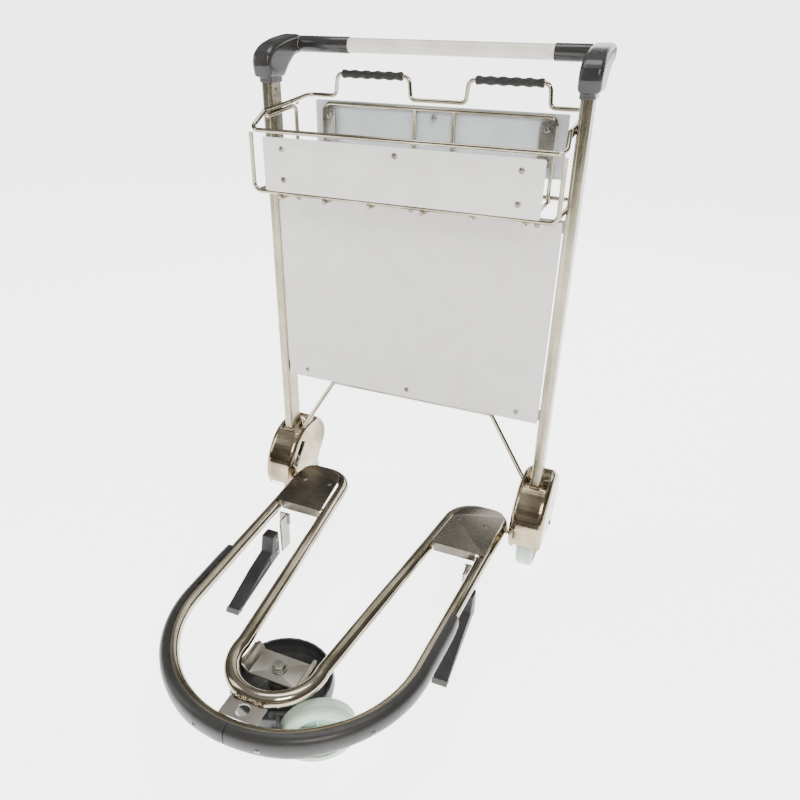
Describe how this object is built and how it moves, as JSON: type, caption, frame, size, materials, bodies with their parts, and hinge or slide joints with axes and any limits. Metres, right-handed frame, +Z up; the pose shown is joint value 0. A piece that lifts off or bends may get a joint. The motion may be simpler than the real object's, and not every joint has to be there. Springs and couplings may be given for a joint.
{
  "type": "airport luggage trolley",
  "caption": "Three-wheeled luggage trolley: U-shaped tube platform, tall panelled back with a wire basket, and a push handle.",
  "frame": {"origin": "middle of the bounding box's bottom face, on the floor", "axes": "+Z up, -Y towards the nose and bumper, +X to the right seen from the nose; the handle is at +Y"},
  "size_m": [0.646, 0.82, 1.0263],
  "materials": {
    "polished_steel": "polished stainless steel tube and wire, warm reflections",
    "brushed_steel": "brushed stainless sheet",
    "zinc_steel": "zinc-plated fixings",
    "white_panel": "satin off-white coated sheet",
    "blue_panel": "glossy pale blue-grey coated sheet",
    "cream_aluminium": "cream satin tube",
    "dark_plastic": "dark warm-grey moulded plastic",
    "bumper_plastic": "dark grey semi-gloss moulded plastic",
    "bowl_plastic": "dark grey moulded plastic",
    "charcoal_plastic": "charcoal textured plastic",
    "grip_rubber": "soft black-grey grip",
    "wheel_tyre": "pale grey-green elastic tread",
    "wheel_hub": "pale mint moulded wheel centre"
  },
  "bodies": {
    "frame": {"axle_fork_left": "brushed_steel", "axle_fork_right": "brushed_steel", "basket_floor_wire_1_left": "polished_steel", "basket_floor_wire_1_right": "polished_steel", "basket_floor_wire_2_left": "polished_steel", "basket_floor_wire_2_right": "polished_steel", "basket_floor_wire_3_left": "polished_steel", "basket_floor_wire_3_right": "polished_steel", "basket_front_frame": "polished_steel", "basket_front_panel": "white_panel", "basket_front_rim": "polished_steel", "basket_lower_frame": "polished_steel", "basket_rear_frame": "polished_steel", "basket_rear_rail_left": "polished_steel", "basket_rear_rail_right": "polished_steel", "brace_rod": "polished_steel", "bumper_left": "bumper_plastic", "bumper_right": "bumper_plastic", "caster_bracket": "brushed_steel", "corner_cover_left": "dark_plastic", "corner_cover_right": "dark_plastic", "deck_plate_left": "brushed_steel", "deck_plate_right": "brushed_steel", "handle_bar": "cream_aluminium", "handle_sleeve_left": "dark_plastic", "handle_sleeve_right": "dark_plastic", "kingpin_bolt": "zinc_steel", "loop_grip_left": "grip_rubber", "loop_grip_right": "grip_rubber", "lower_panel": "white_panel", "nesting_skid_left": "charcoal_plastic", "nesting_skid_right": "charcoal_plastic", "nose_link_plate": "brushed_steel", "panel_bottom_rail": "brushed_steel", "panel_top_rail": "brushed_steel", "platform_inner_tube": "polished_steel", "platform_outer_tube": "polished_steel", "platform_rear_bend_left": "polished_steel", "platform_rear_bend_right": "polished_steel", "rear_axle_bolt_left": "zinc_steel", "rear_axle_bolt_right": "zinc_steel", "rear_panel": "blue_panel", "rear_panel_bracket_left": "zinc_steel", "rear_panel_bracket_right": "zinc_steel", "skid_bracket_left": "brushed_steel", "skid_bracket_right": "brushed_steel", "upright_left": "polished_steel", "upright_right": "polished_steel", "wheel_guard_left": "polished_steel", "wheel_guard_right": "polished_steel"},
    "caster": {"caster_housing": "bowl_plastic", "swivel_bearing": "zinc_steel", "caster_axle_bolt": "zinc_steel"},
    "front_wheel": {"caster_tyre": "wheel_tyre", "caster_hub": "wheel_hub"},
    "rear_wheel_right": {"rear_tyre_right": "wheel_tyre", "rear_hub_right": "wheel_hub"},
    "rear_wheel_left": {"rear_tyre_left": "wheel_tyre", "rear_hub_left": "wheel_hub"}
  },
  "joints": [
    {"name": "caster_swivel", "type": "hinge", "parent": "frame", "child": "caster", "pos_m": [0, -0.255, 0.1], "axis": [0, 0, 1], "continuous": true},
    {"name": "front_wheel_spin", "type": "hinge", "parent": "caster", "child": "front_wheel", "pos_m": [0.08777, -0.29101, 0.0615], "axis": [-0.5446, 0.8387, 0], "continuous": true},
    {"name": "rear_wheel_right_spin", "type": "hinge", "parent": "frame", "child": "rear_wheel_right", "pos_m": [0.285, 0.318, 0.0625], "axis": [1, 0, 0], "continuous": true},
    {"name": "rear_wheel_left_spin", "type": "hinge", "parent": "frame", "child": "rear_wheel_left", "pos_m": [-0.285, 0.318, 0.0625], "axis": [1, 0, 0], "continuous": true}
  ]
}
